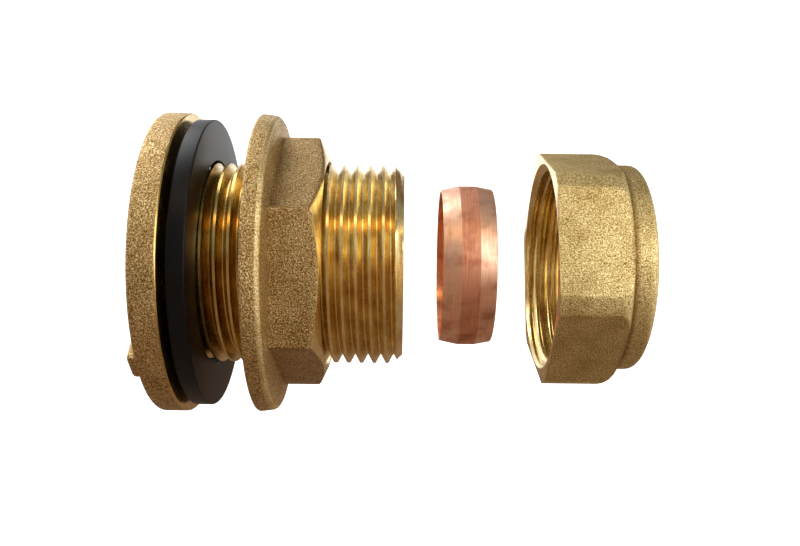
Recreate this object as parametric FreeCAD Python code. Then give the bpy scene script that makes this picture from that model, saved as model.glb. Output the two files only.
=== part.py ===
"""Brass flanged tank connector with a compression end for copper pipe, laid out along its own axis.

The flanged body passes through the wall of a tank from the inside. A rubber washer seals under its
flange, a flanged back nut clamps the wall, and a copper olive and a compression nut close on the pipe.

Frame: millimetres, +Z up. The origin is the centre of the flange's sealing face, and +X runs along
the axis, out of the tank and towards the pipe.
"""

import FreeCAD
import Part

import math
import os

from FreeCAD import Vector

# Pipe and thread
PIPE_D = 22.0
THREAD_D = 30.0
THREAD_CLEARANCE = 0.1

# Flanged body
FLANGE_D = 44.8
FLANGE_T = 3.95
FLANGE_BREAK = 0.4
BODY_LENGTH = 31.45
SOCKET_D = PIPE_D + 0.3
SOCKET_DEPTH = 23.0
WATERWAY_D = 19.6
WATERWAY_CHAMFER = 1.0
RELIEF_LENGTH = 1.6
RELIEF_D = 27.3
END_CHAMFER = 1.3
OLIVE_SEAT_D = 25.2
OLIVE_SEAT_ANGLE = 20.0

# Lugs on the tank side of the flange
LUG_WIDTH = 4.6
LUG_HEIGHT = 2.1
LUG_INNER_R = 13.0
LUG_OUTER_R = 20.0
LUG_ROUND = 0.9

# Sealing washer
WASHER_D = 42.9
WASHER_BORE_D = 30.7
WASHER_T = 2.45
WASHER_X = 0.95

# Flanged back nut
BACKNUT_X = 10.35
BACKNUT_LENGTH = 9.85
BACKNUT_FLANGE_D = 44.8
BACKNUT_RIM_T = 2.6
BACKNUT_RIM_DRAFT = 0.35
BACKNUT_RIM_BREAK = 0.6
BACKNUT_FLANGE_T = 3.0
BACKNUT_FLATS = 33.0
BACKNUT_TURN = 10.0
BACKNUT_FACE_D = 31.8
BACKNUT_CHAMFER_ANGLE = 25.0
BACKNUT_COUNTERSINK = 0.4

# Olive
OLIVE_X = 37.0
OLIVE_LENGTH = 7.6
OLIVE_D = 24.0
OLIVE_BORE_D = PIPE_D + 0.16
OLIVE_LEFT_D = 22.9
OLIVE_RIGHT_D = 23.1
OLIVE_LEFT_TAPER = 2.6
OLIVE_RIGHT_TAPER = 2.4

# Compression nut
NUT_X = 52.3
NUT_LENGTH = 13.9
NUT_FLATS = 32.0
NUT_TURN = 30.0
NUT_CORNER_D = 35.46
NUT_HEX_LENGTH = 10.25
NUT_HEX_ROUND = 2.0
NUT_HEX_ROUND_ANGLES = (0, 30, 60, 90)
NUT_SHOULDER_D = 30.9
NUT_SHOULDER_BREAK = 0.9
NUT_HOLE_D = PIPE_D + 0.5
NUT_WEB_T = 2.4
NUT_SEAT_D = 27.2
NUT_SEAT_LEAD = 0.6
NUT_MOUTH_CHAMFER = 0.4

# How far a cutting tool runs past the face that it opens
RUN_OUT = 1.0

AXIS = Vector(1, 0, 0)
ORIGIN = Vector(0, 0, 0)


def rounded_wire(corners):
    """Closed wire through corners given as (point, radius), each corner eased by a tangent arc."""
    starts, ends, arcs = [], [], []
    count = len(corners)
    for i, (point, radius) in enumerate(corners):
        before = (corners[i - 1][0] - point).normalize()
        after = (corners[(i + 1) % count][0] - point).normalize()
        half = before.getAngle(after) / 2
        if radius == 0:
            starts.append(point)
            ends.append(point)
            arcs.append(None)
            continue
        reach = radius / math.tan(half)
        centre_way = (before + after).normalize()
        middle = point + centre_way * (radius / math.sin(half) - radius)
        starts.append(point + before * reach)
        ends.append(point + after * reach)
        arcs.append(Part.Arc(starts[i], middle, ends[i]).toShape())
    edges = []
    for i in range(count):
        if arcs[i]:
            edges.append(arcs[i])
        following = starts[(i + 1) % count]
        if (following - ends[i]).Length > 1e-7:
            edges.append(Part.LineSegment(ends[i], following).toShape())
    return Part.Wire(edges)


def turned(*outline):
    """Solid turned about the axis from (x, diameter) points."""
    corners = [Vector(x, diameter / 2, 0) for x, diameter in outline]
    return Part.Face(Part.makePolygon(corners + corners[:1])).revolve(ORIGIN, AXIS, 360)


def hexagon_bar(flats, turn, x, length):
    """Hexagonal bar along the axis. Turn is the angle of one corner, from -Y towards +Z."""
    corner_r = flats / 2 / math.cos(math.radians(30))
    corners = []
    for i in range(7):
        angle = math.radians(turn + 60 * i)
        corners.append(Vector(x, -corner_r * math.cos(angle), corner_r * math.sin(angle)))
    return Part.Face(Part.makePolygon(corners)).extrude(AXIS * length)


def lug(side):
    """Lug that stops the body turning, on the tank side of the flange."""
    back = -FLANGE_T
    height = back - LUG_HEIGHT
    half = LUG_WIDTH / 2
    corners = [
        (Vector(back + LUG_ROUND, side * LUG_INNER_R, -half), 0),
        (Vector(height, side * LUG_INNER_R, -half), LUG_ROUND),
        (Vector(height, side * LUG_OUTER_R, -half), LUG_ROUND),
        (Vector(back + LUG_ROUND, side * LUG_OUTER_R, -half), 0),
    ]
    return Part.Face(rounded_wire(corners)).extrude(Vector(0, 0, LUG_WIDTH))


def flanged_body():
    """Flange, threaded barrel, pipe socket and olive seat, in one piece."""
    blank = turned(
        (-FLANGE_T, 0),
        (-FLANGE_T, FLANGE_D - 2 * FLANGE_BREAK),
        (FLANGE_BREAK - FLANGE_T, FLANGE_D),
        (-FLANGE_BREAK, FLANGE_D),
        (0, FLANGE_D - 2 * FLANGE_BREAK),
        (0, RELIEF_D),
        (RELIEF_LENGTH, RELIEF_D),
        (RELIEF_LENGTH + (THREAD_D - RELIEF_D) / 2, THREAD_D),
        (BODY_LENGTH - END_CHAMFER, THREAD_D),
        (BODY_LENGTH, THREAD_D - 2 * END_CHAMFER),
        (BODY_LENGTH, 0),
    )
    for side in (-1, 1):
        blank = blank.fuse(lug(side))
    seat_depth = (OLIVE_SEAT_D - SOCKET_D) / 2 / math.tan(math.radians(OLIVE_SEAT_ANGLE))
    stop_x = BODY_LENGTH - SOCKET_DEPTH
    back = -FLANGE_T
    waterway_mouth_d = WATERWAY_D + 2 * WATERWAY_CHAMFER
    bore = turned(
        (back - RUN_OUT, 0),
        (back - RUN_OUT, waterway_mouth_d),
        (back, waterway_mouth_d),
        (back + WATERWAY_CHAMFER, WATERWAY_D),
        (stop_x, WATERWAY_D),
        (stop_x, SOCKET_D),
        (BODY_LENGTH - seat_depth, SOCKET_D),
        (BODY_LENGTH, OLIVE_SEAT_D),
        (BODY_LENGTH + RUN_OUT, OLIVE_SEAT_D),
        (BODY_LENGTH + RUN_OUT, 0),
    )
    return blank.cut(bore).removeSplitter()


def sealing_washer():
    """Flat rubber ring under the flange."""
    left, right = WASHER_X, WASHER_X + WASHER_T
    return turned(
        (left, WASHER_BORE_D),
        (left, WASHER_D),
        (right, WASHER_D),
        (right, WASHER_BORE_D),
    )


def flanged_backnut():
    """Cast flange and chamfered hexagon of the nut that clamps the tank wall."""
    left, right = BACKNUT_X, BACKNUT_X + BACKNUT_LENGTH
    rim_right = left + BACKNUT_RIM_T
    flange_right = left + BACKNUT_FLANGE_T
    rim_d = BACKNUT_FLANGE_D - 2 * BACKNUT_RIM_DRAFT
    corner_d = BACKNUT_FLATS / math.cos(math.radians(30))
    flange = turned(
        (left, 0),
        (left, BACKNUT_FLANGE_D),
        (rim_right - BACKNUT_RIM_BREAK, rim_d),
        (rim_right, rim_d - 2 * BACKNUT_RIM_BREAK),
        (flange_right, corner_d),
        (flange_right, 0),
    )
    envelope_d = corner_d + 2 * RUN_OUT
    chamfer = (envelope_d - BACKNUT_FACE_D) / 2 * math.tan(math.radians(BACKNUT_CHAMFER_ANGLE))
    envelope = turned(
        (left, 0),
        (left, envelope_d),
        (right - chamfer, envelope_d),
        (right, BACKNUT_FACE_D),
        (right, 0),
    )
    bar = hexagon_bar(BACKNUT_FLATS, BACKNUT_TURN, left, BACKNUT_LENGTH)
    blank = bar.common(envelope).fuse(flange)
    bore_d = THREAD_D + 2 * THREAD_CLEARANCE
    mouth_d = bore_d + 2 * BACKNUT_COUNTERSINK
    bore = turned(
        (left - RUN_OUT, 0),
        (left - RUN_OUT, mouth_d),
        (left, mouth_d),
        (left + BACKNUT_COUNTERSINK, bore_d),
        (right - BACKNUT_COUNTERSINK, bore_d),
        (right, mouth_d),
        (right + RUN_OUT, mouth_d),
        (right + RUN_OUT, 0),
    )
    return blank.cut(bore).removeSplitter()


def olive():
    """Barrel-shaped compression ring, thinned towards both ends."""
    left, right = OLIVE_X, OLIVE_X + OLIVE_LENGTH
    return turned(
        (left, OLIVE_BORE_D),
        (left, OLIVE_LEFT_D),
        (left + OLIVE_LEFT_TAPER, OLIVE_D),
        (right - OLIVE_RIGHT_TAPER, OLIVE_D),
        (right, OLIVE_RIGHT_D),
        (right, OLIVE_BORE_D),
    )


def compression_nut():
    """Hexagonal cap nut, rounded off into a shoulder, with an olive seat and a hole for the pipe."""
    left, right = NUT_X, NUT_X + NUT_LENGTH
    hex_right = left + NUT_HEX_LENGTH
    rounding = []
    for angle in NUT_HEX_ROUND_ANGLES:
        along = NUT_HEX_ROUND * (1 - math.sin(math.radians(angle)))
        across = NUT_HEX_ROUND * (1 - math.cos(math.radians(angle)))
        rounding.append((hex_right - along, NUT_CORNER_D - 2 * across))
    envelope = turned(
        (left, 0),
        (left, NUT_CORNER_D),
        *rounding,
        (hex_right, NUT_SHOULDER_D),
        (right - NUT_SHOULDER_BREAK, NUT_SHOULDER_D),
        (right, NUT_SHOULDER_D - 2 * NUT_SHOULDER_BREAK),
        (right, 0),
    )
    bar = hexagon_bar(NUT_FLATS, NUT_TURN, left, NUT_LENGTH)
    thread_d = THREAD_D + 2 * THREAD_CLEARANCE
    web_x = right - NUT_WEB_T
    seat_x = web_x - (NUT_SEAT_D - NUT_HOLE_D) / 2
    bore = turned(
        (left - RUN_OUT, 0),
        (left - RUN_OUT, thread_d + 2 * NUT_MOUTH_CHAMFER),
        (left, thread_d + 2 * NUT_MOUTH_CHAMFER),
        (left + NUT_MOUTH_CHAMFER, thread_d),
        (seat_x - NUT_SEAT_LEAD, thread_d),
        (seat_x, NUT_SEAT_D),
        (web_x, NUT_HOLE_D),
        (right + RUN_OUT, NUT_HOLE_D),
        (right + RUN_OUT, 0),
    )
    return bar.common(envelope).cut(bore).removeSplitter()


def main():
    os.makedirs("parts", exist_ok=True)
    pieces = {
        "flanged_body": flanged_body(),
        "sealing_washer": sealing_washer(),
        "flanged_backnut": flanged_backnut(),
        "olive": olive(),
        "compression_nut": compression_nut(),
    }
    for name, shape in pieces.items():
        solid = shape.Solids[0]
        solid.exportStep(f"parts/{name}.step")
        print(f"{name}: {len(shape.Solids)} solid, valid {solid.isValid()}, {solid.Volume:.0f} mm3")


main()
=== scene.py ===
"""Looks of a brass flanged tank connector, shown with its pieces drawn apart along the axis.

Sizes are in millimetres along +X (the axis) and in radius, as on a turner's drawing. MM turns them
into the frame's metres. Each piece is turned, threaded and milled as the real one is.
"""

import math

import bmesh
import bpy
from mathutils import Matrix, Vector


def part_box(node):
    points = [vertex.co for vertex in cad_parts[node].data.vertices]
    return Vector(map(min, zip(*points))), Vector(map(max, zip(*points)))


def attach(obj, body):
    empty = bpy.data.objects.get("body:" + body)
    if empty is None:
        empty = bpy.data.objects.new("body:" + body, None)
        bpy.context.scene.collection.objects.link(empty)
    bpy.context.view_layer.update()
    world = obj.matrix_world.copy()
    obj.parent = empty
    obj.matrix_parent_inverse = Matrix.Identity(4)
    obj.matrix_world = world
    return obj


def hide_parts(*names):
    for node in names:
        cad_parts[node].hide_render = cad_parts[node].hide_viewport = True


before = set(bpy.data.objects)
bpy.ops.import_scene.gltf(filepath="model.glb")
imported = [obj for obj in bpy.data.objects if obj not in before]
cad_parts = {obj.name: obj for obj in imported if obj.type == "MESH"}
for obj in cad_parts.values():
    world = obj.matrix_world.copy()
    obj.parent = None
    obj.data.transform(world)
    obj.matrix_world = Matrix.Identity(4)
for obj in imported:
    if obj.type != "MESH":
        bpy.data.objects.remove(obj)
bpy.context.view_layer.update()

MM = 0.001
TURN = 2 * math.pi
AXIS = (1, 0, 0)
CENTRE = (0, 0, 0)

# Fineness of the meshes
STEPS = 192  # round the axis
CORNER_SEGMENTS = 5  # in a turned corner
EDGE_SEGMENTS = 3  # in a softened edge
FLANK_CUTS = 5  # across a flank of the thread
SLACK = 0.001  # how far a point may be from a plane that it lies in
MERGE_REACH = 0.002  # vertices nearer than this are one
FLAT_SIDES = 8  # a milled flat has more sides than this
SHARP_ANGLE = math.radians(28)  # edges that turn by more are shaded as sharp


def span(node):
    """Left and right ends of a CAD node along the axis, in millimetres."""
    low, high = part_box(node)
    return low[0] / MM, high[0] / MM


# Sizes taken from the frame
BACK_X, BODY_END = span("flanged_body")
WASHER_LEFT, WASHER_RIGHT = span("sealing_washer")
BACKNUT_LEFT, BACKNUT_RIGHT = span("flanged_backnut")
OLIVE_LEFT, OLIVE_RIGHT = span("olive")
NUT_LEFT, NUT_RIGHT = span("compression_nut")

# Roundings that many turned corners share
CRISP = 0.1
EASED = 0.2

# Thread of the body and the compression nut
THREAD_R = 15.0
THREAD_PITCH = 1.92
THREAD_DEPTH = 1.3
THREAD_GAP = 0.12  # between the two threads
THREAD_SEAM = 0.03  # room in which a thread is joined to its ends
CREST_FLAT = 0.36
ROOT_FLAT = 0.16
CREST_X = 20.83  # where a crest of the body's thread crosses its top
BORE_R = THREAD_R + 0.1
NUT_HOME_TRAVEL = 27.4  # from the nut's place here to its home on the body

# Flanged body
FLANGE_R = 22.4
FLANGE_FRONT_ROUND = 0.35
FLANGE_BACK_ROUND = 0.6
FLANGE_CAST_END = -0.25  # the rim is as cast up to here
LUG_HEIGHT = 2.1
LUG_WIDTH = 4.6
LUG_INNER_R = 13.0
LUG_OUTER_R = 20.0
LUG_ROUND = 0.6
FLANGE_BACK_X = BACK_X + LUG_HEIGHT
RELIEF_R = 13.6
RELIEF_X = 1.6
SOCKET_R = 11.15
SOCKET_DEPTH = 23.0
STOP_X = BODY_END - SOCKET_DEPTH
WATERWAY_R = 9.8
WATERWAY_CHAMFER = 1.0
SEAT_R = 12.6
SEAT_ANGLE = math.radians(20)
SEAT_X = BODY_END - (SEAT_R - SOCKET_R) / math.tan(SEAT_ANGLE)
SEAT_ROUND = 0.3
SEAT_LIP_ROUND = 0.12
END_R = 13.65

# Sealing washer
WASHER_R = 21.45
WASHER_BORE_R = 15.35
WASHER_BORE_ROUND = 0.15

# Flanged back nut
BACKNUT_R = 22.4
BACKNUT_RIM_X = BACKNUT_LEFT + 2.6
BACKNUT_RIM_DRAFT = 0.35
BACKNUT_FRONT_ROUND = 0.35
BACKNUT_RIM_ROUND = 0.75
BACKNUT_FLATS = 33.0
BACKNUT_TURN = math.radians(20)  # from a corner at the top
BACKNUT_HEX_X = BACKNUT_LEFT + 3.0
BACKNUT_HEX_ROUND = 0.3
BACKNUT_EDGE_ANGLE = 0.2  # edges that turn by more, in radians, are softened
BACKNUT_ROOT_X = BACKNUT_HEX_X - 0.15
BACKNUT_BLANK_SPARE = 0.6  # of the blank over the hexagon's corners
BACKNUT_BLANK_R = BACKNUT_FLATS / 2 / math.cos(TURN / 12) + BACKNUT_BLANK_SPARE
BACKNUT_FACE_R = 15.9
BACKNUT_CHAMFER = math.radians(25)
BACKNUT_CHAMFER_X = BACKNUT_RIGHT - (BACKNUT_BLANK_R - BACKNUT_FACE_R) * math.tan(BACKNUT_CHAMFER)
BACKNUT_COUNTERSINK = 0.4
BACKNUT_BORE_WALL = 1.0  # faces this near the bore belong to it
BACKNUT_HEX_MARGIN = 0.1  # faces of the hexagon start this far past its root
BACKNUT_END_FACING = 0.85  # the turned end has normals with more than this along the axis
BACKNUT_RUBBED_HIGHLIT_FACING = 0.2, 0.97  # the rubbed edge of the rim, lighter with a painted highlight, has normals between these

# Olive
OLIVE_R = 12.0
OLIVE_BORE_R = 11.08
OLIVE_BORE_WALL = 0.05  # faces this near the bore belong to it
OLIVE_LEFT_R = 11.45
OLIVE_RIGHT_R = 11.55
OLIVE_BAND_LEFT = OLIVE_LEFT + 2.6
OLIVE_BAND_RIGHT = OLIVE_RIGHT - 2.4
OLIVE_BAND_ROUND = 0.4
OLIVE_END_ROUND = 0.12
OLIVE_BORE_ROUND = 0.08

# Compression nut
NUT_FLATS = 32.0
NUT_CORNER_R = 17.73
NUT_HEX_END = NUT_LEFT + 10.25
NUT_HEX_ROUND = 2.0
NUT_EDGE_ROUND = 0.18
NUT_EDGE_ANGLE = 0.02  # edges that turn by more, in radians, are softened
NUT_WELD_REACH = 0.2
NUT_SHOULDER_R = 15.45
NUT_SHOULDER_ROUND = 1.4
NUT_HOLE_R = 11.25
NUT_HOLE_ROUND = 0.3
NUT_WEB_X = NUT_RIGHT - 2.4
NUT_SEAT_R = 13.6
NUT_SEAT_X = NUT_WEB_X - (NUT_SEAT_R - NUT_HOLE_R)
NUT_RELIEF_R = 15.2
NUT_RELIEF_END = NUT_SEAT_X - 0.6
NUT_MINOR_R = 14.15
NUT_COUNTERSINK = 0.4
NUT_THREAD_LEFT = NUT_LEFT + NUT_COUNTERSINK
NUT_THREAD_RIGHT = NUT_SEAT_X - 1.2
NUT_BORE_WALL = 0.02  # faces this near the relief, or inside it, are turned
NUT_BLASTED_LIP = 1.0  # of the pipe hole, which the shot reaches
NUT_MOUTH_FACING = -0.6  # the turned mouth has normals with less than this along the axis

# Painted shade
SHADE_FULL_X = 9.0  # the thread beside the washer and the back nut is fully darkened with painted shade up to here
SHADE_END_X = 12.0
SHADE_LINE_X = NUT_HEX_END + EASED  # a line of painted shade in the corner of the compression nut's shoulder
SHADE_LINE_REACH = 0.8  # to each side

# Camera, measured from the photograph
CAMERA_ELEVATION = math.radians(48)
CAMERA_DISTANCE = 129.8
CAMERA_AIM_X = 30.96
CAMERA_AIM_BELOW = 1.29
CAMERA_ROLL = 0.0125
FOCAL_PX = 850
PHOTO_WIDTH_PX = 800
SENSOR_WIDTH = 36

# Studio
FLOOR_Z = -150
FLOOR_REACH = 6000
CARD_FOOT_Z = FLOOR_Z + 1
PAPER_GLOW = 0.75  # brings the lit paper up to plain white


# Work on the lathe and the mill


def radius_of(point):
    """Distance of a point from the axis, in millimetres."""
    return math.hypot(point.y, point.z) / MM


def everything(bm):
    """All vertices, edges and faces of a bmesh."""
    return bm.verts[:] + bm.edges[:] + bm.faces[:]


def turn_outline(bm, corners, closed):
    """Turns an outline of (x, radius, easing) corners about the axis, as on a lathe.

    Easing is the radius that a corner is rounded to.
    """
    verts = [bm.verts.new((x * MM, 0, radius * MM)) for x, radius, _ in corners]
    for pair in zip(verts, verts[1:]):
        bm.edges.new(pair)
    if closed:
        bm.edges.new((verts[-1], verts[0]))
    for vert, (_, _, easing) in zip(verts, corners):
        if easing:
            before, after = [edge.other_vert(vert).co - vert.co for edge in vert.link_edges]
            bmesh.ops.bevel(
                bm,
                geom=[vert],
                offset=easing / math.tan(before.angle(after) / 2) * MM,
                offset_type="OFFSET",
                affect="VERTICES",
                segments=CORNER_SEGMENTS,
                profile=0.5,
                material=-1,
            )
    outline = [edge for edge in bm.edges if edge.is_wire]
    ends = list(dict.fromkeys(vert for edge in outline for vert in edge.verts))
    bmesh.ops.spin(
        bm, geom=ends + outline, cent=CENTRE, axis=AXIS, angle=TURN, steps=STEPS, use_merge=True
    )
    bmesh.ops.recalc_face_normals(bm, faces=bm.faces)


def cut_thread(bm, left, right, crest_x, gap, limit):
    """Adds a helical thread between two turned ends and joins it to them.

    Limit gives the radius that the thread is trimmed to at a place along the axis, from its radius there.
    """
    crest, root = THREAD_R + gap, THREAD_R - THREAD_DEPTH + gap
    half_pitch, half_crest, half_root = THREAD_PITCH / 2, CREST_FLAT / 2, ROOT_FLAT / 2
    section = [
        (-half_pitch, root),
        (half_root - half_pitch, root),
        (-half_crest, crest),
        (half_crest, crest),
        (half_pitch - half_root, root),
        (half_pitch, root),
    ]
    first_x = crest_x - THREAD_PITCH * math.ceil((crest_x - left) / THREAD_PITCH + 1)
    turns = math.ceil((right - first_x) / THREAD_PITCH + 1)

    # One turn is spun with a rise of one pitch, and copied along the axis
    strip = bmesh.new()
    verts = [strip.verts.new(((first_x + x) * MM, 0, radius * MM)) for x, radius in section]
    edges = [strip.edges.new(pair) for pair in zip(verts, verts[1:])]
    bmesh.ops.subdivide_edges(strip, edges=[edges[1], edges[3]], cuts=FLANK_CUTS)
    bmesh.ops.spin(
        strip,
        geom=strip.verts[:] + strip.edges[:],
        cent=CENTRE,
        axis=AXIS,
        angle=TURN,
        steps=STEPS,
        dvec=(THREAD_PITCH / STEPS * MM, 0, 0),
    )
    one_turn = everything(strip)
    for k in range(1, turns):
        copied = bmesh.ops.duplicate(strip, geom=one_turn)["geom"]
        copied_verts = [part for part in copied if isinstance(part, bmesh.types.BMVert)]
        bmesh.ops.translate(strip, verts=copied_verts, vec=(k * THREAD_PITCH * MM, 0, 0))
    bmesh.ops.remove_doubles(strip, verts=strip.verts, dist=MERGE_REACH * MM)

    # The thread is trimmed to its limit and cut off just inside both ends
    for vert in strip.verts:
        radius = radius_of(vert.co)
        trimmed = limit(vert.co.x / MM, radius) / radius
        vert.co.yz = vert.co.y * trimmed, vert.co.z * trimmed
    for place, way in ((left + THREAD_SEAM, -1), (right - THREAD_SEAM, 1)):
        bmesh.ops.bisect_plane(
            strip,
            geom=everything(strip),
            plane_co=(place * MM, 0, 0),
            plane_no=(way, 0, 0),
            clear_outer=True,
        )
    shared = bpy.data.meshes.new("thread_strip")
    strip.to_mesh(shared)
    strip.free()
    bm.from_mesh(shared)
    bpy.data.meshes.remove(shared)
    for place in (left, right):
        rims = [
            edge
            for edge in bm.edges
            if edge.is_boundary and all(abs(v.co.x / MM - place) < 2 * THREAD_SEAM for v in edge.verts)
        ]
        bmesh.ops.bridge_loops(bm, edges=rims)


def mill_flats(bm, across):
    """Mills the six flats of a hexagon on a turned blank, with a corner at the top."""
    for i in range(6):
        angle = TURN * (i + 0.5) / 6
        way = Vector((0, math.sin(angle), math.cos(angle)))
        cut = bmesh.ops.bisect_plane(
            bm,
            geom=everything(bm),
            dist=SLACK * MM,
            plane_co=way * across / 2 * MM,
            plane_no=way,
            clear_outer=True,
        )
        rim = [part for part in cut["geom_cut"] if isinstance(part, bmesh.types.BMEdge)]
        bmesh.ops.edgeloop_fill(bm, edges=rim)


def flat_edges(bm):
    """Edges round the milled flats, which are the faces with many sides."""
    flats = [face for face in bm.faces if len(face.verts) > FLAT_SIDES]
    return list(dict.fromkeys(edge for face in flats for edge in face.edges))


def turning(edges, angle):
    """Those of some edges at which the surface turns by more than an angle."""
    return [edge for edge in edges if edge.calc_face_angle(0) > angle]


def soften(bm, edges, width):
    """Rounds edges with a narrow bevel."""
    bmesh.ops.bevel(
        bm,
        geom=edges,
        offset=width * MM,
        offset_type="OFFSET",
        affect="EDGES",
        segments=EDGE_SEGMENTS,
        profile=0.5,
        material=-1,
    )


def weld_beside(bm, edges, reach):
    """Welds vertices that short edges join to some edges to them, so that a bevel there has room."""
    kept = {vert for edge in edges for vert in edge.verts}
    targets = {}
    for vert in bm.verts:
        near = [edge.other_vert(vert) for edge in vert.link_edges if edge.calc_length() < reach * MM]
        near = [other for other in near if other in kept]
        if near and vert not in kept:
            # Distances are rounded and ties go by place, so that each run makes the same choice
            targets[vert] = min(
                near,
                key=lambda other: [round(size, 7) for size in ((other.co - vert.co).length, *other.co)],
            )
    bmesh.ops.weld_verts(bm, targetmap=targets)


def make_piece(bm, node, body, finishes, finish_of):
    """Makes a bmesh the visible piece for a CAD node.

    Finish_of picks one of the finishes from a face's place along the axis, its radius and its normal.
    """
    bmesh.ops.remove_doubles(bm, verts=bm.verts, dist=MERGE_REACH * MM)
    bmesh.ops.recalc_face_normals(bm, faces=bm.faces)
    for face in bm.faces:
        face.smooth = True
        centre = face.calc_center_median()
        finish = finish_of(centre.x / MM, radius_of(centre), face.normal)
        face.material_index = finishes.index(finish)
    for edge in bm.edges:
        edge.smooth = edge.calc_face_angle(0) < SHARP_ANGLE
    name = node + "_skin"
    mesh = bpy.data.meshes.new(name)
    bm.to_mesh(mesh)
    bm.free()
    for finish in finishes:
        mesh.materials.append(finish)
    piece = bpy.data.objects.new(name, mesh)
    bpy.context.collection.objects.link(piece)
    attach(piece, body)
    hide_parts(node)


# Materials


def colour(hex_code):
    """Linear colour of an sRGB hex code."""
    parts = [int(hex_code[i : i + 2], 16) / 255 for i in (1, 3, 5)]
    return [c / 12.92 if c <= 0.04045 else ((c + 0.055) / 1.055) ** 2.4 for c in parts] + [1]


def per_mm(size):
    """Noise scale for features of a size in millimetres."""
    return 1 / (size * MM)


def add(tree, kind, inputs, stops=(), **settings):
    """Adds a node with its settings, sets or links its inputs, and gives a ramp its (place, hex) stops."""
    node = tree.nodes.new(kind)
    for name, value in settings.items():
        setattr(node, name, value)
    sockets = {socket.name: socket for socket in node.inputs if socket.enabled}
    for name, value in inputs.items():
        socket = node.inputs[name] if isinstance(name, int) else sockets[name]
        if isinstance(value, bpy.types.NodeSocket):
            tree.links.new(value, socket)
        else:
            socket.default_value = value
    for place, hex_code in stops:
        node.color_ramp.elements.new(place).color = colour(hex_code)
    if stops:
        # A new ramp starts with a black and a white stop at its ends
        node.color_ramp.elements.remove(node.color_ramp.elements[0])
        node.color_ramp.elements.remove(node.color_ramp.elements[-1])
    return node


def new_material(name):
    """New material, its node tree and its shader."""
    material = bpy.data.materials.new(name)
    material.use_nodes = True
    return material, material.node_tree, material.node_tree.nodes["Principled BSDF"]


def grained_brass(name, pit, skin, lip, grain_mm, depth_mm, dull=0.6, bright=0.36, shade_line_x=None):
    """Brass with the dull skin of a casting or of shot blasting: small pits whose lips catch the light.

    Real grit is about 0.1 mm, too fine to show, so the grain is drawn about twice as coarse. Dull and
    bright are the roughness in the pits and on the lips. The last argument is a place along the axis
    where a dark line of painted shade is drawn in the corner of a step.
    """
    material, tree, shader = new_material(name)
    place = add(tree, "ShaderNodeTexCoord", {}).outputs["Object"]
    grain = add(
        tree,
        "ShaderNodeTexNoise",
        {"Vector": place, "Scale": per_mm(grain_mm), "Detail": 2.0, "Roughness": 0.6},
    )
    tone = add(
        tree,
        "ShaderNodeValToRGB",
        {"Fac": grain.outputs["Fac"]},
        stops=[(0.34, pit), (0.5, skin), (0.68, lip)],
    )
    clouds = add(tree, "ShaderNodeTexNoise", {"Vector": place, "Scale": per_mm(4.0), "Detail": 3.0})
    patches = add(
        tree,
        "ShaderNodeMapRange",
        {"Value": clouds.outputs["Fac"], "From Min": 0.4, "From Max": 0.65},
    )
    aged = add(
        tree,
        "ShaderNodeMix",
        {"Factor": patches.outputs["Result"], "A": tone.outputs["Color"], "B": colour("#E9E4DA")},
        data_type="RGBA",
        blend_type="MULTIPLY",
    )
    # Painted shade: a dark line in the corner of the step, fading out to each side
    if shade_line_x is not None:
        along = add(tree, "ShaderNodeSeparateXYZ", {"Vector": place})
        past = add(tree, "ShaderNodeMath", {0: along.outputs["X"], 1: shade_line_x * MM}, operation="SUBTRACT")
        away = add(tree, "ShaderNodeMath", {0: past.outputs["Value"]}, operation="ABSOLUTE")
        shade_line = add(
            tree,
            "ShaderNodeMapRange",
            {
                "Value": away.outputs["Value"],
                "From Min": 0.0,
                "From Max": SHADE_LINE_REACH * MM,
                "To Min": 1.0,
                "To Max": 0.0,
            },
        )
        aged = add(
            tree,
            "ShaderNodeMix",
            {"Factor": shade_line.outputs["Result"], "A": aged.outputs["Result"], "B": colour("#A68E68")},
            data_type="RGBA",
            blend_type="MULTIPLY",
        )
    rough = add(
        tree,
        "ShaderNodeMapRange",
        {
            "Value": grain.outputs["Fac"],
            "From Min": 0.35,
            "From Max": 0.65,
            "To Min": dull,
            "To Max": bright,
        },
    )
    bump = add(
        tree,
        "ShaderNodeBump",
        {"Height": grain.outputs["Fac"], "Strength": 0.9, "Distance": depth_mm * MM},
    )
    tree.links.new(aged.outputs["Result"], shader.inputs["Base Color"])
    tree.links.new(rough.outputs["Result"], shader.inputs["Roughness"])
    tree.links.new(bump.outputs["Normal"], shader.inputs["Normal"])
    shader.inputs["Metallic"].default_value = 1.0
    return material


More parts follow.
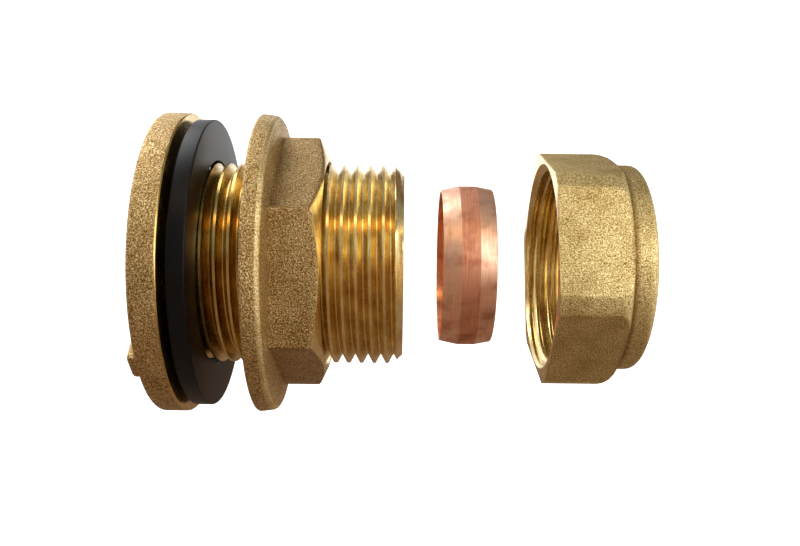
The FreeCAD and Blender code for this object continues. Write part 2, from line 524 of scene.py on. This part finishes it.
def turned_brass():
    """Free-cutting brass straight from the lathe: bright yellow, with fine feed rings round the axis.

    A real feed is about 0.08 mm, too fine to show, so the rings are drawn twice as coarse. The thread
    beside the flange, between the washer and the back nut, is darkened with painted shade.
    """
    material, tree, shader = new_material("turned_brass")
    place = add(tree, "ShaderNodeTexCoord", {}).outputs["Object"]
    round_axis = add(tree, "ShaderNodeMapping", {"Vector": place, "Scale": (1.0, 0.04, 0.04)})
    rings = add(
        tree,
        "ShaderNodeTexNoise",
        {"Vector": round_axis.outputs["Vector"], "Scale": per_mm(0.18), "Detail": 2.0},
    )
    clouds = add(tree, "ShaderNodeTexNoise", {"Vector": place, "Scale": per_mm(3.0), "Detail": 3.0})
    tone = add(
        tree,
        "ShaderNodeValToRGB",
        {"Fac": clouds.outputs["Fac"]},
        stops=[(0.3, "#D2B374"), (0.7, "#F2DFA6")],
    )
    along = add(tree, "ShaderNodeSeparateXYZ", {"Vector": place})
    # Painted shade on the thread between the washer and the back nut, fading out along the axis
    washer_shade = add(
        tree,
        "ShaderNodeMapRange",
        {
            "Value": along.outputs["X"],
            "From Min": SHADE_FULL_X * MM,
            "From Max": SHADE_END_X * MM,
            "To Min": 1.0,
            "To Max": 0.0,
        },
    )
    shaded_thread = add(
        tree,
        "ShaderNodeMix",
        {"Factor": washer_shade.outputs["Result"], "A": tone.outputs["Color"], "B": colour("#E6DCBE")},
        data_type="RGBA",
        blend_type="MULTIPLY",
    )
    rough = add(
        tree,
        "ShaderNodeMapRange",
        {"Value": rings.outputs["Fac"], "From Min": 0.3, "From Max": 0.7, "To Min": 0.16, "To Max": 0.3},
    )
    bump = add(
        tree,
        "ShaderNodeBump",
        {"Height": rings.outputs["Fac"], "Strength": 0.2, "Distance": 0.02 * MM},
    )
    tree.links.new(shaded_thread.outputs["Result"], shader.inputs["Base Color"])
    tree.links.new(rough.outputs["Result"], shader.inputs["Roughness"])
    tree.links.new(bump.outputs["Normal"], shader.inputs["Normal"])
    shader.inputs["Metallic"].default_value = 1.0
    return material


def moulded_rubber():
    """Moulded black rubber sheet: nearly matt, with a faint grey bloom and a fine pebble.

    The pebble is drawn at 0.3 mm, coarser than the real one, because that is too fine to show.
    """
    material, tree, shader = new_material("moulded_black_rubber")
    place = add(tree, "ShaderNodeTexCoord", {}).outputs["Object"]
    pebble = add(tree, "ShaderNodeTexNoise", {"Vector": place, "Scale": per_mm(0.3), "Detail": 2.0})
    bloom = add(tree, "ShaderNodeTexNoise", {"Vector": place, "Scale": per_mm(6.0), "Detail": 4.0})
    tone = add(
        tree,
        "ShaderNodeValToRGB",
        {"Fac": bloom.outputs["Fac"]},
        stops=[(0.35, "#040305"), (0.75, "#0B0A0D")],
    )
    bump = add(
        tree,
        "ShaderNodeBump",
        {"Height": pebble.outputs["Fac"], "Strength": 0.25, "Distance": 0.04 * MM},
    )
    tree.links.new(tone.outputs["Color"], shader.inputs["Base Color"])
    tree.links.new(bump.outputs["Normal"], shader.inputs["Normal"])
    shader.inputs["Roughness"].default_value = 0.4
    shader.inputs["Specular IOR Level"].default_value = 0.2
    return material


def copper(name, light, dark, ring_mm, dull, bright):
    """Copper worked on a lathe: salmon pink metal with fine rings round the axis and a few smudges.

    Real rings are about half as wide, too fine to show, so they are drawn at ring_mm. Dull and bright
    are the roughness between the rings and on them.
    """
    material, tree, shader = new_material(name)
    place = add(tree, "ShaderNodeTexCoord", {}).outputs["Object"]
    round_axis = add(tree, "ShaderNodeMapping", {"Vector": place, "Scale": (1.0, 0.03, 0.03)})
    rings = add(
        tree,
        "ShaderNodeTexNoise",
        {"Vector": round_axis.outputs["Vector"], "Scale": per_mm(ring_mm), "Detail": 3.0},
    )
    tone = add(
        tree,
        "ShaderNodeValToRGB",
        {"Fac": rings.outputs["Fac"]},
        stops=[(0.3, dark), (0.7, light)],
    )
    smudges = add(tree, "ShaderNodeTexNoise", {"Vector": place, "Scale": per_mm(2.5), "Detail": 4.0})
    worn = add(
        tree,
        "ShaderNodeMapRange",
        {"Value": smudges.outputs["Fac"], "From Min": 0.48, "From Max": 0.7},
    )
    tarnish = add(
        tree,
        "ShaderNodeMix",
        {"Factor": worn.outputs["Result"], "A": tone.outputs["Color"], "B": colour("#D9C3BB")},
        data_type="RGBA",
        blend_type="MULTIPLY",
    )
    rough = add(
        tree,
        "ShaderNodeMapRange",
        {
            "Value": rings.outputs["Fac"],
            "From Min": 0.3,
            "From Max": 0.7,
            "To Min": dull,
            "To Max": bright,
        },
    )
    bump = add(
        tree,
        "ShaderNodeBump",
        {"Height": rings.outputs["Fac"], "Strength": 0.2, "Distance": 0.02 * MM},
    )
    tree.links.new(tarnish.outputs["Result"], shader.inputs["Base Color"])
    tree.links.new(rough.outputs["Result"], shader.inputs["Roughness"])
    tree.links.new(bump.outputs["Normal"], shader.inputs["Normal"])
    shader.inputs["Metallic"].default_value = 1.0
    return material


# Pieces


def raise_lugs(bm):
    """Raises two lugs on the back of the flange, which stop the body turning."""
    half = LUG_WIDTH / 2
    across, along = Vector((0, 1, 0)), Vector((0, 0, 1))
    for side in (-1, 1):
        # The faces round the lug become one plate, which four cuts divide
        around = []
        for face in bm.faces:
            centre = face.calc_center_median() / MM
            flat = all(abs(vert.co.x / MM - FLANGE_BACK_X) < SLACK for vert in face.verts)
            if flat and side * centre.y > 0 and abs(centre.z) < LUG_WIDTH:
                around.append(face)
        plate = bmesh.ops.dissolve_faces(bm, faces=around)["region"]
        parts = plate + list(plate[0].edges) + list(plate[0].verts)
        for way, place in (
            (across, side * LUG_INNER_R),
            (across, side * LUG_OUTER_R),
            (along, -half),
            (along, half),
        ):
            cut = bmesh.ops.bisect_plane(bm, geom=parts, plane_co=way * place * MM, plane_no=way)
            parts = cut["geom"]
        pad = []
        for face in parts:
            if isinstance(face, bmesh.types.BMFace):
                centre = face.calc_center_median() / MM
                if LUG_INNER_R < side * centre.y < LUG_OUTER_R and abs(centre.z) < half:
                    pad.append(face)
        raised = bmesh.ops.extrude_face_region(bm, geom=pad)["geom"]
        bmesh.ops.delete(bm, geom=pad, context="FACES_ONLY")
        top_verts = [part for part in raised if isinstance(part, bmesh.types.BMVert)]
        bmesh.ops.translate(bm, verts=top_verts, vec=(-LUG_HEIGHT * MM, 0, 0))
        walls = list(dict.fromkeys(edge for vert in top_verts for edge in vert.link_edges))
        soften(bm, walls, LUG_ROUND)


def make_body(cast, turned):
    """Body: turned inside and out, threaded along its barrel, with its flange left as cast."""
    bm = bmesh.new()
    turn_outline(
        bm,
        [
            (RELIEF_X, RELIEF_R, 0),
            (0, RELIEF_R, EASED),
            (0, FLANGE_R, FLANGE_FRONT_ROUND),
            (FLANGE_BACK_X, FLANGE_R, FLANGE_BACK_ROUND),
            (FLANGE_BACK_X, WATERWAY_R + WATERWAY_CHAMFER, EASED),
            (FLANGE_BACK_X + WATERWAY_CHAMFER, WATERWAY_R, EASED),
            (STOP_X, WATERWAY_R, EASED),
            (STOP_X, SOCKET_R, CRISP),
            (SEAT_X, SOCKET_R, SEAT_ROUND),
            (BODY_END, SEAT_R, SEAT_LIP_ROUND),
            (BODY_END, END_R, 0),
        ],
        closed=False,
    )

    def limit(x, radius):
        run_in = RELIEF_R + abs(x - RELIEF_X)
        end_chamfer = END_R + abs(BODY_END - x)
        return min(radius, run_in, end_chamfer)

    cut_thread(bm, RELIEF_X, BODY_END, CREST_X, 0, limit)
    raise_lugs(bm)

    def finish_of(x, radius, normal):
        as_cast = x < FLANGE_CAST_END and radius > WATERWAY_R + WATERWAY_CHAMFER + EASED
        return cast if as_cast else turned

    make_piece(bm, "flanged_body", "body", [cast, turned], finish_of)


def make_washer(rubber):
    """Washer: a flat ring of rubber."""
    bm = bmesh.new()
    turn_outline(
        bm,
        [
            (WASHER_LEFT, WASHER_BORE_R, WASHER_BORE_ROUND),
            (WASHER_LEFT, WASHER_R, EASED),
            (WASHER_RIGHT, WASHER_R, EASED),
            (WASHER_RIGHT, WASHER_BORE_R, WASHER_BORE_ROUND),
        ],
        closed=True,
    )

    def finish_of(x, radius, normal):
        return rubber

    make_piece(bm, "sealing_washer", "washer", [rubber], finish_of)


def make_backnut(cast, turned, rubbed_highlit, shaded_brass):
    """Back nut: a hexagon milled on a turned blank, joined to its turned flange."""
    bm = bmesh.new()
    turn_outline(
        bm,
        [
            (BACKNUT_HEX_X, BORE_R, 0),
            (BACKNUT_RIGHT - BACKNUT_COUNTERSINK, BORE_R, CRISP),
            (BACKNUT_RIGHT, BORE_R + BACKNUT_COUNTERSINK, CRISP),
            (BACKNUT_RIGHT, BACKNUT_FACE_R, CRISP),
            (BACKNUT_CHAMFER_X, BACKNUT_BLANK_R, 0),
            (BACKNUT_HEX_X, BACKNUT_BLANK_R, 0),
        ],
        closed=True,
    )
    mill_flats(bm, BACKNUT_FLATS)

    def at_root(edge):
        return all(abs(vert.co.x / MM - BACKNUT_HEX_X) < SLACK for vert in edge.verts)

    hex_edges = [edge for edge in flat_edges(bm) if not at_root(edge)]
    soften(bm, turning(hex_edges, BACKNUT_EDGE_ANGLE), BACKNUT_HEX_ROUND)
    root_faces = [face for face in bm.faces if all(at_root(edge) for edge in face.edges)]
    bmesh.ops.delete(bm, geom=root_faces, context="FACES")

    def open_outside():
        """Open edges outside the bore."""
        edges = [edge for edge in bm.edges if edge.is_boundary]
        return [edge for edge in edges if radius_of(edge.verts[0].co) > BORE_R + BACKNUT_BORE_WALL]

    root = open_outside()
    turn_outline(
        bm,
        [
            (BACKNUT_HEX_X, BORE_R, 0),
            (BACKNUT_LEFT + BACKNUT_COUNTERSINK, BORE_R, CRISP),
            (BACKNUT_LEFT, BORE_R + BACKNUT_COUNTERSINK, CRISP),
            (BACKNUT_LEFT, BACKNUT_R, BACKNUT_FRONT_ROUND),
            (BACKNUT_RIM_X, BACKNUT_R - BACKNUT_RIM_DRAFT, BACKNUT_RIM_ROUND),
            (BACKNUT_ROOT_X, BACKNUT_BLANK_R, 0),
        ],
        closed=False,
    )
    ring = [edge for edge in open_outside() if edge not in root]
    bmesh.ops.bridge_loops(bm, edges=root + ring)
    bmesh.ops.rotate(bm, verts=bm.verts, cent=CENTRE, matrix=Matrix.Rotation(BACKNUT_TURN, 3, "X"))

    def finish_of(x, radius, normal):
        bored = radius < BORE_R + BACKNUT_BORE_WALL
        on_hexagon = x > BACKNUT_HEX_X + BACKNUT_HEX_MARGIN
        end_cone = on_hexagon and normal.x > BACKNUT_END_FACING
        # The rim's rounded edge gets the lighter brass, which carries a painted highlight
        least, most = BACKNUT_RUBBED_HIGHLIT_FACING
        rim_edge = radius > BACKNUT_BLANK_R and least < normal.x < most
        if end_cone or bored:
            return turned
        # The hexagon gets the darker copy of the cast brass, which is painted shade
        if on_hexagon:
            return shaded_brass
        return rubbed_highlit if rim_edge else cast

    finishes = [cast, turned, rubbed_highlit, shaded_brass]
    make_piece(bm, "flanged_backnut", "backnut", finishes, finish_of)


def make_olive(bright, dull, bored):
    """Olive: a ring that tapers to both ends from a plain band."""
    bm = bmesh.new()
    turn_outline(
        bm,
        [
            (OLIVE_LEFT, OLIVE_BORE_R, OLIVE_BORE_ROUND),
            (OLIVE_LEFT, OLIVE_LEFT_R, OLIVE_END_ROUND),
            (OLIVE_BAND_LEFT, OLIVE_R, OLIVE_BAND_ROUND),
            (OLIVE_BAND_RIGHT, OLIVE_R, OLIVE_BAND_ROUND),
            (OLIVE_RIGHT, OLIVE_RIGHT_R, OLIVE_END_ROUND),
            (OLIVE_RIGHT, OLIVE_BORE_R, OLIVE_BORE_ROUND),
        ],
        closed=True,
    )

    def finish_of(x, radius, normal):
        if radius < OLIVE_BORE_R + OLIVE_BORE_WALL:
            return bored
        return dull if OLIVE_BAND_LEFT < x < OLIVE_BAND_RIGHT else bright

    make_piece(bm, "olive", "olive", [bright, dull, bored], finish_of)


def make_nut(blasted, turned):
    """Compression nut: a hexagon rounded off into a round shoulder, with a seat and a thread inside."""
    bm = bmesh.new()
    turn_outline(
        bm,
        [
            (NUT_THREAD_RIGHT, NUT_RELIEF_R, 0),
            (NUT_RELIEF_END, NUT_RELIEF_R, EASED),
            (NUT_SEAT_X, NUT_SEAT_R, EASED),
            (NUT_WEB_X, NUT_HOLE_R, EASED),
            (NUT_RIGHT, NUT_HOLE_R, NUT_HOLE_ROUND),
            (NUT_RIGHT, NUT_SHOULDER_R, NUT_SHOULDER_ROUND),
            (NUT_HEX_END, NUT_SHOULDER_R, EASED),
            (NUT_HEX_END, NUT_CORNER_R, NUT_HEX_ROUND),
            (NUT_LEFT, NUT_CORNER_R, 0),
            (NUT_LEFT, BORE_R + NUT_COUNTERSINK, 0),
            (NUT_THREAD_LEFT, BORE_R, 0),
        ],
        closed=False,
    )
    mill_flats(bm, NUT_FLATS)
    weld_beside(bm, flat_edges(bm), NUT_WELD_REACH)
    soften(bm, turning(flat_edges(bm), NUT_EDGE_ANGLE), NUT_EDGE_ROUND)

    def limit(x, radius):
        mouth = BORE_R - abs(x - NUT_THREAD_LEFT)
        run_out = NUT_RELIEF_R - abs(NUT_THREAD_RIGHT - x)
        return max(radius, NUT_MINOR_R, mouth, run_out)

    crest_x = CREST_X + NUT_HOME_TRAVEL
    cut_thread(bm, NUT_THREAD_LEFT, NUT_THREAD_RIGHT, crest_x, THREAD_GAP, limit)

    def finish_of(x, radius, normal):
        mouth = normal.x < NUT_MOUTH_FACING and x < NUT_THREAD_LEFT
        bored = radius < NUT_RELIEF_R + NUT_BORE_WALL and x < NUT_RIGHT - NUT_BLASTED_LIP
        return turned if mouth or bored else blasted

    make_piece(bm, "compression_nut", "nut", [blasted, turned], finish_of)


# Camera and studio


def make_camera():
    """Camera at the place that the photograph was taken from."""
    data = bpy.data.cameras.new("camera")
    data.sensor_width = SENSOR_WIDTH
    data.lens = SENSOR_WIDTH * FOCAL_PX / PHOTO_WIDTH_PX
    data.clip_start = 5 * MM
    towards = Vector((0, -math.cos(CAMERA_ELEVATION), math.sin(CAMERA_ELEVATION)))
    level_up = Vector((0, math.sin(CAMERA_ELEVATION), math.cos(CAMERA_ELEVATION)))
    level_right = Vector(AXIS)
    right = level_right * math.cos(CAMERA_ROLL) + level_up * math.sin(CAMERA_ROLL)
    up = level_up * math.cos(CAMERA_ROLL) - level_right * math.sin(CAMERA_ROLL)
    aim = level_right * CAMERA_AIM_X - level_up * CAMERA_AIM_BELOW
    camera = bpy.data.objects.new("camera", data)
    camera.matrix_world = Matrix((right, up, towards)).transposed().to_4x4()
    camera.location = (aim + towards * CAMERA_DISTANCE) * MM
    bpy.context.collection.objects.link(camera)
    bpy.context.scene.camera = camera


def white_paper():
    """White paper that reads as plain white to the camera and in reflections, and still takes a shadow."""
    material, tree, shader = new_material("white_paper")
    path = add(tree, "ShaderNodeLightPath", {})
    seen = add(
        tree,
        "ShaderNodeMath",
        {0: path.outputs["Is Camera Ray"], 1: path.outputs["Is Glossy Ray"]},
        operation="MAXIMUM",
    )
    seen_through = add(
        tree,
        "ShaderNodeMath",
        {0: seen.outputs["Value"], 1: path.outputs["Is Transmission Ray"]},
        operation="MAXIMUM",
    )
    glow = add(
        tree,
        "ShaderNodeMath",
        {0: seen_through.outputs["Value"], 1: PAPER_GLOW},
        operation="MULTIPLY",
    )
    tree.links.new(glow.outputs["Value"], shader.inputs["Emission Strength"])
    shader.inputs["Emission Color"].default_value = colour("#FFFFFF")
    shader.inputs["Base Color"].default_value = colour("#E6E6E6")
    shader.inputs["Roughness"].default_value = 0.9
    return material


def brown_card():
    """Matt brown card, which gives the metal its dark reflections."""
    material, _, shader = new_material("brown_card")
    shader.inputs["Base Color"].default_value = colour("#8F7763")
    shader.inputs["Roughness"].default_value = 0.9
    return material


def make_sheet(name, left, right, start, end, material):
    """Flat sheet of the studio, from left to right between two (y, z) lines along the axis."""
    bm = bmesh.new()
    corners = [(left, *start), (right, *start), (right, *end), (left, *end)]
    bm.faces.new([bm.verts.new(Vector(corner) * MM) for corner in corners])
    mesh = bpy.data.meshes.new(name)
    bm.to_mesh(mesh)
    bm.free()
    mesh.materials.append(material)
    sheet = bpy.data.objects.new(name, mesh)
    bpy.context.collection.objects.link(sheet)
    return sheet


def make_lamp(name, turn, rise, distance, length, width, glow, tint):
    """Soft oblong lamp that faces the middle of the row of pieces.

    Turn is its angle towards +X and rise its angle up from the front. Glow is how bright its face is.
    """
    data = bpy.data.lights.new(name, "AREA")
    data.shape = "RECTANGLE"
    data.size = length * MM
    data.size_y = width * MM
    data.energy = glow * math.pi * data.size * data.size_y
    data.color = colour(tint)[:3]
    turn, rise = math.radians(turn), math.radians(rise)
    towards = Vector((math.sin(turn), -math.cos(turn) * math.cos(rise), math.cos(turn) * math.sin(rise)))
    along = (Vector(AXIS) - towards * towards.x).normalized()
    lamp = bpy.data.objects.new(name, data)
    lamp.matrix_world = Matrix((along, towards.cross(along), towards)).transposed().to_4x4()
    lamp.location = (Vector(AXIS) * CAMERA_AIM_X + towards * distance) * MM
    bpy.context.collection.objects.link(lamp)


def make_studio():
    """Floor, cards that only reflections show, lamps and an even grey sky."""
    near, far = (-FLOOR_REACH, FLOOR_Z), (FLOOR_REACH, FLOOR_Z)
    make_sheet("floor", -FLOOR_REACH, FLOOR_REACH, near, far, white_paper())
    brown = brown_card()
    for name, left, right, start, end in (
        ("front_card", -400, 420, (-20, CARD_FOOT_Z), (-250, 400)),
        ("under_card", -400, 420, (160, CARD_FOOT_Z), (-20, CARD_FOOT_Z)),
        ("back_card", 60, 420, (320, 30), (320, CARD_FOOT_Z)),
    ):
        card = make_sheet(name, left, right, start, end, brown)
        card.visible_camera = False
        card.visible_diffuse = False
        card.visible_shadow = False
    for name, turn, rise, distance, length, width, glow, tint in (
        ("overhead_strip", 0, 96, 380, 450, 60, 3.0, "#FFDA9B"),
        ("right_softbox", 35, 66, 240, 310, 150, 2.2, "#FFFFFF"),
        ("side_softbox", 80, 60, 300, 240, 240, 2.2, "#FFFFFF"),
        ("left_softbox", -66, 60, 300, 200, 200, 0.8, "#FFFFFF"),
        ("back_softbox", -36, 152, 400, 400, 250, 4.2, "#FFFFFF"),
    ):
        make_lamp(name, turn, rise, distance, length, width, glow, tint)
    world = bpy.data.worlds.new("studio")
    bpy.context.scene.world = world
    world.use_nodes = True
    background = world.node_tree.nodes["Background"]
    background.inputs["Color"].default_value = colour("#DADADA")
    background.inputs["Strength"].default_value = 0.42


# Making

# Both flanges are as they came from the sand
cast = grained_brass(
    "sand_cast_brass", pit="#785734", skin="#B9985E", lip="#F4E4B2", grain_mm=0.21, depth_mm=0.19
)
# The edge of the back nut's rim is rubbed bright by handling, and is also lighter with a painted highlight
rubbed_highlit = grained_brass(
    "highlit_rubbed_cast_brass", pit="#AE8D54", skin="#DEC68A", lip="#FFF3CA", grain_mm=0.21, depth_mm=0.12
)
# The hexagon of the back nut gets a darker, browner copy of the cast brass as painted shade, a little
# smoother from the spanner
shaded_brass = grained_brass(
    "shaded_cast_brass",
    pit="#6C4D2A",
    skin="#A6834C",
    lip="#ECD9A6",
    grain_mm=0.17,
    depth_mm=0.15,
    dull=0.52,
    bright=0.3,
)
# The compression nut is paler and finer from the shot, with a line of painted shade in the corner of its
# shoulder
blasted = grained_brass(
    "shot_blasted_brass",
    pit="#8E6E34",
    skin="#D2BB7A",
    lip="#FAEEC2",
    grain_mm=0.18,
    depth_mm=0.12,
    shade_line_x=SHADE_LINE_X,
)
turned = turned_brass()
make_body(cast, turned)
make_washer(moulded_rubber())
make_backnut(cast, turned, rubbed_highlit, shaded_brass)
make_olive(
    copper("turned_copper", light="#FAD0B4", dark="#ECB493", ring_mm=0.1, dull=0.5, bright=0.34),
    copper("drawn_copper", light="#E6A988", dark="#CE8E6E", ring_mm=0.12, dull=0.64, bright=0.46),
    copper("bored_copper", light="#FFB488", dark="#F29A68", ring_mm=0.12, dull=0.36, bright=0.24),
)
make_nut(blasted, turned)
make_camera()
make_studio()
bpy.context.scene.view_settings.view_transform = "Standard"
